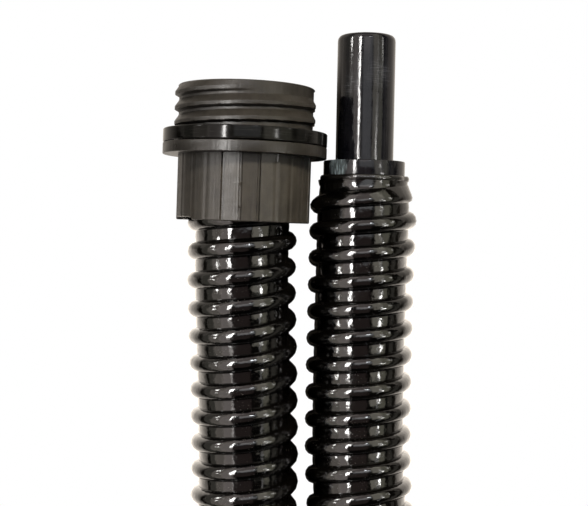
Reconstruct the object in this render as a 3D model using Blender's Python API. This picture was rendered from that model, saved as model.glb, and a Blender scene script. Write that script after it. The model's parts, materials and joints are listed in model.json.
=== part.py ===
"""Ribbed vacuum hose with a swivelling threaded coupling at one end and a smooth tube at the other.

Metres, +Z up. The hose lies on the ground. Both ends point along +Y and the rest of the hose is wound
in a round coil behind them. The origin is on the ground, under the middle of the two end fittings.
The coupling turns about its own axis, which lies along +Y.
"""

import math

import bmesh
import bpy
import numpy as np
from mathutils import Matrix

# Hose
HOSE_BORE_R = 0.0190
HOSE_ROOT_R = 0.0213
HOSE_CREST_R = 0.0250
HOSE_ROUTE_STEP = 0.004
HOSE_LEG_SPACING = 0.10
HOSE_LEG_SQUARE = 2
HOSE_LEG_GAP = 0.0024
HOSE_LEG_COIL_GAP = 0.002

# Clearance that separate pieces keep
GAP = 0.0003

# Sides of the turned pieces, and steps of the rounded profiles
COUPLING_SIDES = 48
FITTING_SIDES = 40
HOSE_SIDES = 32
HALF_ROUND_STEPS = 8
SHARP_EDGE_DEG = 35.0

# Coupling: heights along its axis, from the open end of the skirt
SKIRT_END = (-0.0195, -0.0330, 0.0373)
SKIRT_R = 0.0304
SKIRT_BORE_R = 0.0274
SKIRT_FACETS = 24
FLANGE_R = 0.03725
FLANGE_BASE = 0.0294
FLANGE_TOP = 0.0344
THREAD_TOP = 0.0606
THREAD_ROOT_R = 0.0310
THREAD_CREST_R = 0.0332
THREAD_PITCH = 0.0066
THREAD_TURNS = 2.78
THREAD_START = 0.03955
THREAD_HALF_BASE = 0.0026
THREAD_HALF_CREST = 0.0010
THREAD_SUNK = 0.0008
MOUTH_BORE_R = 0.0260
LIP_BORE_R = 0.0225
LIP_BASE = 0.0298
LIP_TOP = 0.0342
WASHER_BORE_R = 0.0336
WASHER_TOP = 0.0407

# Swivel tail that the hose is fixed on, and what holds and seals it
TAIL_END = -0.0220
TAIL_TOP = 0.0380
TAIL_BORE_R = 0.0160
TAIL_BARB_R = 0.0187
TAIL_BARB_ROOT_R = 0.0178
TAIL_BARBS = 5
TAIL_FLANGE_R = 0.0256
TAIL_FLANGE_BASE = 0.0250
TAIL_FLANGE_TOP = 0.0282
TAIL_NECK_R = 0.0222
SEAL_GROOVE = (0.0307, 0.0333)
SEAL_GROOVE_R = 0.0200
SEAL_SECTION_R = 0.00095
RING_GROOVE = (0.0342, 0.0360)
RING_GROOVE_R = 0.0205
RING_OUTER_R = 0.0248
RING_OPEN_DEG = 24.0
RING_SIDES = 36
SLIP_INNER_PLAY = 0.0005
SLIP_OUTER_LAP = 0.0006

# Tube end: heights along its axis, from the cut end of the hose
HOSE_CUT = (0.03585, -0.01017, 0.0252)
TUBE_LEAN_DEG = 0.9
TUBE_R = 0.01345
TUBE_BORE_R = 0.0112
TUBE_TOP = 0.0652
TUBE_LIP = 0.0022
TUBE_END = -0.0360
COLLAR_R = 0.01895
COLLAR_TOP = 0.0071
BUSH_END = -0.0380
BUSH_SPIGOT_R = 0.0187
BEAD_R = 0.0209
BEAD_HEIGHT = 0.0015
BEAD_BEVEL = 0.0004
FIRST_RIB = -0.0110
FIRST_RIB_SLOPE = 0.003

# Coil and its ties
COIL_CENTRE = (0.0117, -0.5660)
COIL_R = 0.2500
COIL_LOW_Z = 0.0272
COIL_HIGH_Z = 0.0775
COIL_FROM_DEG = 121.0
COIL_TO_DEG = 721.0
COIL_RISE_DEG = (404.0, 476.0)
COIL_STEP_DEG = 15.0
TIE_AT_DEG = (215.0, 325.0)
TIE_WIDTH = 0.025
TIE_THICKNESS = 0.0016
TIE_SIDE_GAP = 0.0014

# Centre line of the hose where it isn't coiled, from the coupling to the coil and from the coil to the tube
LEG_FROM_COUPLING = (
    (-0.0195, -0.0083, 0.0373),
    (-0.0195, -0.0330, 0.0373),
    (-0.0193, -0.0560, 0.0368),
    (-0.0179, -0.0850, 0.0347),
    (-0.0160, -0.1240, 0.0318),
    (-0.0148, -0.1700, 0.0302),
    (-0.0192, -0.2220, 0.0286),
    (-0.0362, -0.2705, 0.0272),
    (-0.0680, -0.3132, 0.0269),
)
LEG_TO_TUBE = (
    (0.2512, -0.4900, 0.0780),
    (0.2328, -0.4330, 0.0805),
    (0.2040, -0.3830, 0.0835),
    (0.1665, -0.3400, 0.0838),
    (0.1270, -0.3050, 0.0772),
    (0.0875, -0.2675, 0.0618),
    (0.0565, -0.2235, 0.0426),
    (0.0410, -0.1750, 0.0304),
    (0.0372, -0.1250, 0.0259),
    (0.0364, -0.0700, 0.0252),
    (0.0361, -0.0340, 0.0252),
    (0.03586, -0.0121, 0.0252),
)


def clear_scene():
    for item in list(bpy.data.objects):
        bpy.data.objects.remove(item, do_unlink=True)


def material(name, colour, roughness, metallic=0.0):
    made = bpy.data.materials.new(name)
    made.use_nodes = True
    shader = made.node_tree.nodes["Principled BSDF"]
    shader.inputs["Base Color"].default_value = (*colour, 1.0)
    shader.inputs["Roughness"].default_value = roughness
    shader.inputs["Metallic"].default_value = metallic
    return made


def place(name, mesh, finish, parent=None):
    mesh.materials.append(finish)
    mesh.shade_smooth()
    mesh.set_sharp_from_angle(angle=math.radians(SHARP_EDGE_DEG))
    item = bpy.data.objects.new(name, mesh)
    bpy.context.scene.collection.objects.link(item)
    item.parent = parent
    return item


def axis_empty(name, at, turn_z_deg=0.0):
    """An empty whose local +Z lies along world +Y, leaning by turn_z_deg about the vertical."""
    empty = bpy.data.objects.new(name, None)
    bpy.context.scene.collection.objects.link(empty)
    turn = Matrix.Rotation(math.radians(turn_z_deg), 4, "Z") @ Matrix.Rotation(-math.pi / 2, 4, "X")
    empty.matrix_world = Matrix.Translation(at) @ turn
    return empty


def turned_mesh(name, profile, segments=COUPLING_SIDES, sweep_deg=360.0, faceted=0):
    """A closed profile of (radius, height) points turned about Z. The first points, as many as faceted
    says, lie on a prism of SKIRT_FACETS sides and not on a circle."""
    whole = sweep_deg >= 360.0
    columns = segments if whole else segments + 1
    shape = bmesh.new()
    rings = []
    for column in range(columns):
        angle = math.radians(sweep_deg) * column / segments
        at_corner = column % (segments // SKIRT_FACETS) == 0
        ring = []
        for number, (radius, height) in enumerate(profile):
            on_facet = number < faceted and not at_corner
            reach = radius * math.cos(math.pi / SKIRT_FACETS) if on_facet else radius
            ring.append(shape.verts.new((reach * math.cos(angle), reach * math.sin(angle), height)))
        rings.append(ring)
    count = len(profile)
    for column in range(segments):
        here, there = rings[column], rings[(column + 1) % columns]
        for i in range(count):
            j = (i + 1) % count
            shape.faces.new((here[i], there[i], there[j], here[j]))
    if not whole:
        shape.faces.new(rings[0])
        shape.faces.new(rings[-1])
    bmesh.ops.recalc_face_normals(shape, faces=shape.faces)
    mesh = bpy.data.meshes.new(name)
    shape.to_mesh(mesh)
    shape.free()
    return mesh


def arc_points(centre, radius, from_deg, to_deg, steps):
    """Points of an arc in the (radius, height) plane."""
    angles = [math.radians(from_deg + (to_deg - from_deg) * i / steps) for i in range(steps + 1)]
    return [(centre[0] + radius * math.cos(a), centre[1] + radius * math.sin(a)) for a in angles]


# ---- coupling ----


def thread_ridge_mesh(segments=COUPLING_SIDES):
    """The coupling's screw thread: a trapezoid swept along a helix, sunk into the barrel at both ends."""
    root = THREAD_ROOT_R - THREAD_SUNK
    count = int(segments * THREAD_TURNS)
    run_out = segments // 6
    shape = bmesh.new()
    rings = []
    for i in range(count + 1):
        angle = 2 * math.pi * i / segments
        rise = THREAD_START + THREAD_PITCH * i / segments
        fade = min(1.0, i / run_out, (count - i) / run_out)
        low_crest = root + THREAD_SUNK / 2
        crest = low_crest + (THREAD_CREST_R - low_crest) * fade
        ring = []
        for radius, along in (
            (root, -THREAD_HALF_BASE),
            (crest, -THREAD_HALF_CREST),
            (crest, THREAD_HALF_CREST),
            (root, THREAD_HALF_BASE),
        ):
            ring.append(shape.verts.new((radius * math.cos(angle), radius * math.sin(angle), rise + along)))
        rings.append(ring)
    for here, there in zip(rings, rings[1:], strict=False):
        for i in range(4):
            j = (i + 1) % 4
            shape.faces.new((here[i], there[i], there[j], here[j]))
    shape.faces.new(rings[0])
    shape.faces.new(rings[-1])
    bmesh.ops.recalc_face_normals(shape, faces=shape.faces)
    mesh = bpy.data.meshes.new("thread_ridge")
    shape.to_mesh(mesh)
    shape.free()
    return mesh


def cuff_body(axis, finish):
    """The moulded coupling: fluted skirt, flange, threaded barrel, and the lip that holds the tail."""
    profile = [
        (SKIRT_R, 0.0),
        (SKIRT_R, FLANGE_BASE),
        (FLANGE_R, FLANGE_BASE),
        (FLANGE_R, FLANGE_TOP),
        (THREAD_ROOT_R, FLANGE_TOP),
        (THREAD_ROOT_R, THREAD_TOP),
        (MOUTH_BORE_R, THREAD_TOP),
        (MOUTH_BORE_R, LIP_TOP),
        (LIP_BORE_R, LIP_TOP),
        (LIP_BORE_R, LIP_BASE),
        (SKIRT_BORE_R, LIP_BASE),
        (SKIRT_BORE_R, 0.0),
    ]
    body = place("cuff_body", turned_mesh("cuff_body", profile, faceted=2), finish, axis)
    ridge = place("thread_ridge", thread_ridge_mesh(), finish, axis)
    ridge.hide_render = True
    ridge.display_type = "WIRE"
    union = body.modifiers.new("thread", "BOOLEAN")
    union.operation = "UNION"
    union.object = ridge
    return body


def sealing_washer(axis, finish):
    base = FLANGE_TOP + GAP
    profile = [
        (FLANGE_R, base),
        (FLANGE_R, WASHER_TOP),
        (WASHER_BORE_R, WASHER_TOP),
        (WASHER_BORE_R, base),
    ]
    return place("sealing_washer", turned_mesh("sealing_washer", profile), finish, axis)


def hose_tail(axis, finish):
    """The tail that turns in the coupling: neck with two grooves, flange, and barbs inside the hose."""
    barb = (TAIL_FLANGE_BASE - TAIL_END) / TAIL_BARBS
    profile = [(TAIL_BORE_R, TAIL_TOP), (TAIL_BORE_R, TAIL_END)]
    for i in range(TAIL_BARBS):
        foot = TAIL_END + barb * i
        profile += [(TAIL_BARB_ROOT_R, foot), (TAIL_BARB_R, foot + 0.7 * barb)]
    profile += [
        (TAIL_BARB_R, TAIL_FLANGE_BASE),
        (TAIL_FLANGE_R, TAIL_FLANGE_BASE),
        (TAIL_FLANGE_R, TAIL_FLANGE_TOP),
        (TAIL_NECK_R, TAIL_FLANGE_TOP),
        (TAIL_NECK_R, SEAL_GROOVE[0]),
        (SEAL_GROOVE_R, SEAL_GROOVE[0]),
        (SEAL_GROOVE_R, SEAL_GROOVE[1]),
        (TAIL_NECK_R, SEAL_GROOVE[1]),
        (TAIL_NECK_R, RING_GROOVE[0]),
        (RING_GROOVE_R, RING_GROOVE[0]),
        (RING_GROOVE_R, RING_GROOVE[1]),
        (TAIL_NECK_R, RING_GROOVE[1]),
        (TAIL_NECK_R, TAIL_TOP),
    ]
    return place("hose_tail", turned_mesh("hose_tail", profile, segments=FITTING_SIDES), finish, axis)


def swivel_o_ring(axis, finish):
    middle = (SEAL_GROOVE_R + GAP + SEAL_SECTION_R, sum(SEAL_GROOVE) / 2)
    profile = arc_points(middle, SEAL_SECTION_R, 0.0, 300.0, 5)
    return place("swivel_o_ring", turned_mesh("swivel_o_ring", profile, segments=FITTING_SIDES), finish, axis)


def slip_washer(axis, finish):
    """Low-friction washer between the tail's flange and the coupling's lip."""
    low, high = TAIL_FLANGE_TOP + GAP, LIP_BASE - GAP
    inner, outer = TAIL_NECK_R + SLIP_INNER_PLAY, TAIL_FLANGE_R + SLIP_OUTER_LAP
    profile = [(outer, low), (outer, high), (inner, high), (inner, low)]
    return place("slip_washer", turned_mesh("slip_washer", profile, segments=FITTING_SIDES), finish, axis)


def snap_ring(axis, finish):
    """Open ring in the tail's upper groove, which holds the tail in the coupling."""
    low, high = LIP_TOP + GAP, RING_GROOVE[1] - GAP
    inner = RING_GROOVE_R + GAP
    profile = [(RING_OUTER_R, low), (RING_OUTER_R, high), (inner, high), (inner, low)]
    mesh = turned_mesh("snap_ring", profile, segments=RING_SIDES, sweep_deg=360.0 - RING_OPEN_DEG)
    return place("snap_ring", mesh, finish, axis)


# ---- tube end ----


def tube_stub(axis, finish):
    profile = [(TUBE_R, TUBE_END), (TUBE_R, TUBE_TOP - TUBE_LIP)]
    profile += arc_points((TUBE_R - TUBE_LIP / 2, TUBE_TOP - TUBE_LIP / 2), TUBE_LIP / 2, 30.0, 150.0, 4)
    profile += [(TUBE_BORE_R, TUBE_TOP - TUBE_LIP), (TUBE_BORE_R, TUBE_END)]
    return place("tube_stub", turned_mesh("tube_stub", profile, segments=FITTING_SIDES), finish, axis)


def end_collar(axis, finish):
    """Reducing bush: the collar that shows, and the spigot in the hose that holds the tube."""
    bore = TUBE_R + GAP
    stop = TUBE_END - GAP
    profile = [
        (BUSH_SPIGOT_R, BUSH_END),
        (BUSH_SPIGOT_R, GAP),
        (COLLAR_R, GAP),
        (COLLAR_R, COLLAR_TOP),
        (bore, COLLAR_TOP),
        (bore, stop),
        (TUBE_BORE_R, stop),
        (TUBE_BORE_R, BUSH_END),
    ]
    return place("end_collar", turned_mesh("end_collar", profile, segments=FITTING_SIDES), finish, axis)


def sealant_bead(axis, finish):
    """Bead of sealant between the cut end of the hose and the collar."""
    inner = BUSH_SPIGOT_R + GAP
    low, high = -BEAD_HEIGHT, 0.0
    side = BEAD_R - BEAD_BEVEL
    profile = [(inner, low), (side, low), (BEAD_R, -BEAD_HEIGHT / 2), (side, high), (inner, high)]
    return place("sealant_bead", turned_mesh("sealant_bead", profile, segments=FITTING_SIDES), finish, axis)


# ---- hose ----


def smooth_step(value):
    value = min(max(value, 0.0), 1.0)
    return value * value * (3 - 2 * value)


def coil_points():
    """Centre line of the coil: one turn on the ground that climbs onto itself, and most of another on it."""
    count = round((COIL_TO_DEG - COIL_FROM_DEG) / COIL_STEP_DEG)
    rise_from, rise_to = COIL_RISE_DEG
    points = []
    for i in range(count + 1):
        degrees = COIL_FROM_DEG + (COIL_TO_DEG - COIL_FROM_DEG) * i / count
        risen = smooth_step((degrees - rise_from) / (rise_to - rise_from))
        x = COIL_CENTRE[0] + COIL_R * math.cos(math.radians(degrees))
        y = COIL_CENTRE[1] + COIL_R * math.sin(math.radians(degrees))
        points.append((x, y, COIL_LOW_Z + (COIL_HIGH_Z - COIL_LOW_Z) * risen))
    return points


def smooth_curve(points, spacing):
    """A natural cubic spline through the points, read at even steps of about this spacing."""
    points = np.array(points)
    gaps = np.linalg.norm(np.diff(points, axis=0), axis=1)
    knots = np.concatenate(([0.0], np.cumsum(gaps)))
    count = len(points)
    system = np.eye(count)
    wanted = np.zeros_like(points)
    for i in range(1, count - 1):
        system[i, i - 1 : i + 2] = gaps[i - 1], 2 * (gaps[i - 1] + gaps[i]), gaps[i]
        slope_in = (points[i] - points[i - 1]) / gaps[i - 1]
        slope_out = (points[i + 1] - points[i]) / gaps[i]
        wanted[i] = 6 * (slope_out - slope_in)
    bends = np.linalg.solve(system, wanted)
    at = np.linspace(0.0, knots[-1], int(knots[-1] / spacing) + 1)
    span = np.clip(np.searchsorted(knots, at, side="right") - 1, 0, count - 2)
    width = gaps[span][:, None]
    back = (at - knots[span])[:, None]
    ahead = width - back
    curved = (bends[span] * ahead**3 + bends[span + 1] * back**3) / (6 * width)
    start = (points[span] / width - bends[span] * width / 6) * ahead
    end = (points[span + 1] / width - bends[span + 1] * width / 6) * back
    return curved + start + end


def hose_leg(name, route, finish):
    """A plain round tube along a stretch of the hose's centre line, with square ends."""
    length = np.linalg.norm(np.diff(route, axis=0), axis=1).sum()
    last = len(route) - 1
    between = np.linspace(0, last, round(length / HOSE_LEG_SPACING) + 1).round().astype(int)[1:-1]
    picked = route[[0, HOSE_LEG_SQUARE, *between, last - HOSE_LEG_SQUARE, last]]
    curve = bpy.data.curves.new(name, "CURVE")
    curve.dimensions = "3D"
    curve.bevel_depth = HOSE_CREST_R
    curve.bevel_resolution = 3
    curve.use_fill_caps = True
    spline = curve.splines.new("POLY")
    spline.points.add(len(picked) - 1)
    for point, at in zip(spline.points, picked, strict=True):
        point.co = (*at, 1.0)
        point.tilt = 0.0
    curve.materials.append(finish)
    item = bpy.data.objects.new(name, curve)
    bpy.context.scene.collection.objects.link(item)
    return item


def hose_legs(finish):
    """The two stretches between the end fittings and the coil, each clear of both."""
    route = smooth_curve([*LEG_FROM_COUPLING, *coil_points(), *LEG_TO_TUBE], HOSE_ROUTE_STEP)
    from_centre = np.linalg.norm(route[:, :2] - np.array(COIL_CENTRE), axis=1)
    outside = from_centre > COIL_R + 2 * HOSE_CREST_R + HOSE_LEG_COIL_GAP
    first_in = int(np.argmin(outside))
    last_in = len(route) - 1 - int(np.argmin(outside[::-1]))
    tail_clear = route[:, 1] < SKIRT_END[1] + TAIL_END - HOSE_LEG_GAP
    bush_clear = route[:, 1] < HOSE_CUT[1] + BUSH_END - HOSE_LEG_GAP
    start = int(np.argmax(tail_clear))
    stop = len(route) - 1 - int(np.argmax(bush_clear[::-1]))
    hose_leg("hose_leg_cuff", route[start:first_in], finish)
    hose_leg("hose_leg_tube", route[last_in + 1 : stop + 1], finish)


def hose_cuff_end(axis, finish):
    """The end of the hose on the tail, partly inside the skirt."""
    low, high = TAIL_END - GAP, TAIL_FLANGE_BASE - GAP
    profile = [(HOSE_CREST_R, low), (HOSE_CREST_R, high), (HOSE_BORE_R, high), (HOSE_BORE_R, low)]
    return place("hose_cuff_end", turned_mesh("hose_cuff_end", profile, segments=HOSE_SIDES), finish, axis)


def hose_tube_end(axis, finish):
    """The end of the hose on the bush. It is slimmer above the first whole rib."""
    low, high = BUSH_END - GAP, -BEAD_HEIGHT - GAP
    profile = [
        (HOSE_CREST_R, low),
        (HOSE_CREST_R, FIRST_RIB),
        (HOSE_ROOT_R, FIRST_RIB + FIRST_RIB_SLOPE),
        (HOSE_ROOT_R, high),
        (HOSE_BORE_R, high),
        (HOSE_BORE_R, low),
    ]
    return place("hose_tube_end", turned_mesh("hose_tube_end", profile, segments=HOSE_SIDES), finish, axis)


def hose_coil(finish):
    """The space that the coil fills: two turns of hose, one on the other."""
    top = arc_points((COIL_R, COIL_HIGH_Z), HOSE_CREST_R, 0.0, 180.0, HALF_ROUND_STEPS)
    bottom = arc_points((COIL_R, COIL_LOW_Z), HOSE_CREST_R, 180.0, 360.0, HALF_ROUND_STEPS)
    item = place("hose_coil", turned_mesh("hose_coil", top + bottom), finish)
    item.location = (*COIL_CENTRE, 0.0)
    return item


def coil_tie(name, at_deg, finish):
    """A flat strap round both turns of the coil."""
    outlines = []
    for offset in (TIE_SIDE_GAP, TIE_SIDE_GAP + TIE_THICKNESS):
        below = offset - TIE_SIDE_GAP + GAP
        radius = HOSE_CREST_R + offset
        top = arc_points((0.0, COIL_HIGH_Z + below - offset), radius, 0.0, 180.0, HALF_ROUND_STEPS)
        bottom = arc_points((0.0, COIL_LOW_Z - below + offset), radius, 180.0, 360.0, HALF_ROUND_STEPS)
        outlines.append(top + bottom)
    shape = bmesh.new()
    loops = []
    for side in (-TIE_WIDTH / 2, TIE_WIDTH / 2):
        for outline in outlines:
            loops.append([shape.verts.new((x, side, z)) for x, z in outline])
    inner_front, outer_front, inner_back, outer_back = loops
    for one, other in (
        (inner_front, outer_front),
        (outer_front, outer_back),
        (outer_back, inner_back),
        (inner_back, inner_front),
    ):
        for i in range(len(one)):
            j = (i + 1) % len(one)
            shape.faces.new((one[i], other[i], other[j], one[j]))
    bmesh.ops.recalc_face_normals(shape, faces=shape.faces)
    mesh = bpy.data.meshes.new(name)
    shape.to_mesh(mesh)
    shape.free()
    item = place(name, mesh, finish)
    angle = math.radians(at_deg)
    item.location = (
        COIL_CENTRE[0] + COIL_R * math.cos(angle),
        COIL_CENTRE[1] + COIL_R * math.sin(angle),
        0.0,
    )
    item.rotation_euler = (0.0, 0.0, angle)
    return item


def main():
    clear_scene()
    coupling_plastic = material("coupling_plastic", (0.095, 0.085, 0.073), 0.55)
    washer_rubber = material("washer_rubber", (0.020, 0.020, 0.019), 0.22)
    hose_plastic = material("hose_plastic", (0.012, 0.011, 0.010), 0.20)
    tube_plastic = material("tube_plastic", (0.020, 0.019, 0.021), 0.18)
    sealant = material("sealant", (0.015, 0.014, 0.013), 0.10)
    tail_plastic = material("tail_plastic", (0.030, 0.030, 0.030), 0.45)
    slip_plastic = material("slip_plastic", (0.75, 0.74, 0.70), 0.35)
    seal_rubber = material("seal_rubber", (0.015, 0.015, 0.015), 0.50)
    ring_steel = material("ring_steel", (0.55, 0.55, 0.56), 0.25, 1.0)
    tie_webbing = material("tie_webbing", (0.020, 0.020, 0.022), 0.85)

    coupling_axis = axis_empty("coupling_axis", SKIRT_END)
    tube_axis = axis_empty("tube_axis", HOSE_CUT, TUBE_LEAN_DEG)

    cuff_body(coupling_axis, coupling_plastic)
    sealing_washer(coupling_axis, washer_rubber)
    hose_tail(coupling_axis, tail_plastic)
    swivel_o_ring(coupling_axis, seal_rubber)
    slip_washer(coupling_axis, slip_plastic)
    snap_ring(coupling_axis, ring_steel)
    hose_cuff_end(coupling_axis, hose_plastic)

    tube_stub(tube_axis, tube_plastic)
    end_collar(tube_axis, tube_plastic)
    sealant_bead(tube_axis, sealant)
    hose_tube_end(tube_axis, hose_plastic)

    hose_legs(hose_plastic)
    hose_coil(hose_plastic)
    for number, at_deg in enumerate(TIE_AT_DEG, start=1):
        coil_tie(f"coil_tie_{number}", at_deg, tie_webbing)


main()
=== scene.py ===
"""The look of the ribbed vacuum hose: fine meshes, materials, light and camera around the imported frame."""

import json
import math

import bmesh
import bpy
import numpy as np
from mathutils import Matrix, Vector


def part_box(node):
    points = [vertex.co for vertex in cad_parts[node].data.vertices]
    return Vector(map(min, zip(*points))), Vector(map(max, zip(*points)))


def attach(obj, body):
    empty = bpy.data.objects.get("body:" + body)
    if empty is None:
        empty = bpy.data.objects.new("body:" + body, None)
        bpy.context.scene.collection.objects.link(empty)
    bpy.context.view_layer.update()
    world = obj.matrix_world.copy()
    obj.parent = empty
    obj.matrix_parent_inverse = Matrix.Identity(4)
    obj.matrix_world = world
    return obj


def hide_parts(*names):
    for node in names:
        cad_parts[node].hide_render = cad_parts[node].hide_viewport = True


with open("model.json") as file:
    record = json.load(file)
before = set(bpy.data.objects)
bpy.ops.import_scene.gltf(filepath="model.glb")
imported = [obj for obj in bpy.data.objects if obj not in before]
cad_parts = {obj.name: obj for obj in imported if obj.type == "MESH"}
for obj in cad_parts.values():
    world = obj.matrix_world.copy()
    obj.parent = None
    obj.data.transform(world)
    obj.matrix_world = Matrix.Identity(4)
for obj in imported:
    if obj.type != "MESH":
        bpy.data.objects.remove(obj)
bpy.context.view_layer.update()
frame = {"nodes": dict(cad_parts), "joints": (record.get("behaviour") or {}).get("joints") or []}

MM = 0.001

# ---- places taken from the frame ----

SWIVEL = frame["joints"][0]["pos_m"]
COUPLING = Matrix.Translation(SWIVEL) @ Matrix.Rotation(-math.pi / 2, 4, "X")
CUFF_LOW, CUFF_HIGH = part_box("cuff_body")
FLANGE_R = (CUFF_HIGH.x - CUFF_LOW.x) / 2
THREAD_TOP = CUFF_HIGH.y - CUFF_LOW.y

# ---- sizes shared with the CAD ----

HOSE_CUT = (0.03585, -0.01017, 0.0252)
TUBE_LEAN_DEG = 0.9
TUBE_AXIS = (
    Matrix.Translation(HOSE_CUT)
    @ Matrix.Rotation(math.radians(TUBE_LEAN_DEG), 4, "Z")
    @ Matrix.Rotation(-math.pi / 2, 4, "X")
)
HOSE_BORE_R = 19.05 * MM
HOSE_ROOT_R = 21.3 * MM
HOSE_CREST_R = 25.0 * MM

# The coil's middle line. Angles are seen from above, from +X, and run on through both turns.
COIL_CENTRE = (0.0117, -0.5660)
COIL_R = 0.2500
COIL_LOW_Z = 0.0272
COIL_HIGH_Z = 0.0775
COIL_FROM_DEG = 121.0
COIL_TO_DEG = 721.0
COIL_RISE_DEG = (404.0, 476.0)
COIL_STEP_DEG = 15.0
TIE_AT_DEG = (215.0, 325.0)

# The hose's middle line before and after the coil.
LEG_FROM_COUPLING = (
    (-0.0195, -0.0083, 0.0373),
    (-0.0195, -0.0330, 0.0373),
    (-0.0193, -0.0560, 0.0368),
    (-0.0179, -0.0850, 0.0347),
    (-0.0160, -0.1240, 0.0318),
    (-0.0148, -0.1700, 0.0302),
    (-0.0192, -0.2220, 0.0286),
    (-0.0362, -0.2705, 0.0272),
    (-0.0680, -0.3132, 0.0269),
)
LEG_TO_TUBE = (
    (0.2512, -0.4900, 0.0780),
    (0.2328, -0.4330, 0.0805),
    (0.2040, -0.3830, 0.0835),
    (0.1665, -0.3400, 0.0838),
    (0.1270, -0.3050, 0.0772),
    (0.0875, -0.2675, 0.0618),
    (0.0565, -0.2235, 0.0426),
    (0.0410, -0.1750, 0.0304),
    (0.0372, -0.1250, 0.0259),
    (0.0364, -0.0700, 0.0252),
    (0.0361, -0.0340, 0.0252),
    (0.03586, -0.0121, 0.0252),
)

# ---- camera ----

CAMERA_FOOT = (0.0040, -0.0342)
CAMERA_HEIGHT = 0.521
CAMERA_ROLL_DEG = 2.0
CAMERA_PITCH_DEG = 1.46
CAMERA_LENS = 64.9
CAMERA_SENSOR = 36.0
CAMERA_NEAR = 10.0 * MM


def make_camera():
    data = bpy.data.cameras.new("camera")
    data.lens = CAMERA_LENS
    data.sensor_width = CAMERA_SENSOR
    data.clip_start = CAMERA_NEAR
    camera = bpy.data.objects.new("camera", data)
    camera.location = (*CAMERA_FOOT, CAMERA_HEIGHT)
    camera.rotation_euler = (math.radians(-CAMERA_PITCH_DEG), 0.0, math.radians(CAMERA_ROLL_DEG))
    bpy.context.scene.collection.objects.link(camera)
    bpy.context.scene.camera = camera


# ---- helpers ----

WELD_DISTANCE = 0.001 * MM


def smooth_step(value):
    value = np.clip(value, 0.0, 1.0)
    return value * value * (3 - 2 * value)


def add_piece(name, mesh, body, finish, replaced=()):
    """A visible piece that rides on a body, takes a material slot, and stands for these CAD nodes."""
    mesh.materials.append(finish)
    mesh.shade_smooth()
    item = bpy.data.objects.new(name, mesh)
    bpy.context.scene.collection.objects.link(item)
    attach(item, body)
    if replaced:
        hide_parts(*replaced)
    return item


def mesh_from(name, points, faces, sharp_deg):
    """A welded mesh whose normals point outward, with sharp edges where faces meet at more than this."""
    mesh = bpy.data.meshes.new(name)
    mesh.from_pydata([tuple(p) for p in points], [], faces)
    shape = bmesh.new()
    shape.from_mesh(mesh)
    bmesh.ops.remove_doubles(shape, verts=shape.verts, dist=WELD_DISTANCE)
    bmesh.ops.recalc_face_normals(shape, faces=shape.faces)
    shape.to_mesh(mesh)
    shape.free()
    mesh.set_sharp_from_angle(angle=math.radians(sharp_deg))
    return mesh


def ring_faces(below, above, count):
    """Faces between two closed rings of points, each ring given by the number of its first point."""
    faces = []
    for i in range(count):
        j = (i + 1) % count
        faces.append((below + i, below + j, above + j, above + i))
    return faces


def turned(name, rows, angles, matrix, sharp_deg):
    """A closed surface round an axis. Each row is (height, radius), each a number or one per angle."""
    count = len(angles)
    points = []
    for height, radius in rows:
        height = np.broadcast_to(height, count)
        radius = np.broadcast_to(radius, count)
        points.append(np.stack((radius * np.cos(angles), radius * np.sin(angles), height), axis=1))
    turn = np.array(matrix)
    points = np.concatenate(points) @ turn[:3, :3].T + turn[:3, 3]
    faces = []
    for row in range(len(rows)):
        faces += ring_faces(row * count, (row + 1) % len(rows) * count, count)
    return mesh_from(name, points, faces, sharp_deg)


def even_angles(count):
    return np.arange(count) * 2 * math.pi / count


def rounded(corner_height, corner_radius, reach, from_deg, to_deg, steps):
    """Rows of a rounded edge: an arc about a centre, as (height, radius)."""
    rows = []
    for i in range(steps + 1):
        angle = math.radians(from_deg + (to_deg - from_deg) * i / steps)
        rows.append((corner_height + reach * math.sin(angle), corner_radius + reach * math.cos(angle)))
    return rows


# ---- hose ----

HOSE_NODES = ("hose_cuff_end", "hose_leg_cuff", "hose_coil", "hose_leg_tube", "hose_tube_end")
ROUTE_STEP = 2.0 * MM
CENTRE_LINE_POINTS = 400

# Rib sizes that are shares are of one pitch. The angles are places of mesh rows over the half-round rib.
RIB_PITCH = 12.5 * MM
RIB_HALF = 0.315
RIB_FOOT = 0.012
RIB_ARC_DEG = (171.0, 146.0, 118.0, 90.0, 62.0, 34.0, 9.0)
RIB_COLUMNS = 32
RIB_CREST_FROM_CUFF = 35.8 * MM
RIB_CREST_FROM_TUBE = 8.3 * MM
VALLEY_CROWN = 0.12 * MM
BORE_STEP = 45.0 * MM
HOSE_SHARP_DEG = 60.0
NO_AREA = 1e-12

# Towards the tube the hose is pinched and its ribs are lower, between these distances from its end.
END_TAPER = (2.0 * MM, 12.7143 * MM)
END_PINCH = 0.9 * MM
END_RIB_SHARE = 0.25


def coil_points():
    """The hose's middle line over the coil: a lower turn that rises into an upper one."""
    count = round((COIL_TO_DEG - COIL_FROM_DEG) / COIL_STEP_DEG)
    rise_from, rise_to = COIL_RISE_DEG
    points = []
    for i in range(count + 1):
        degrees = COIL_FROM_DEG + (COIL_TO_DEG - COIL_FROM_DEG) * i / count
        risen = float(smooth_step((degrees - rise_from) / (rise_to - rise_from)))
        x = COIL_CENTRE[0] + COIL_R * math.cos(math.radians(degrees))
        y = COIL_CENTRE[1] + COIL_R * math.sin(math.radians(degrees))
        points.append((x, y, COIL_LOW_Z + (COIL_HIGH_Z - COIL_LOW_Z) * risen))
    return points


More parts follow.
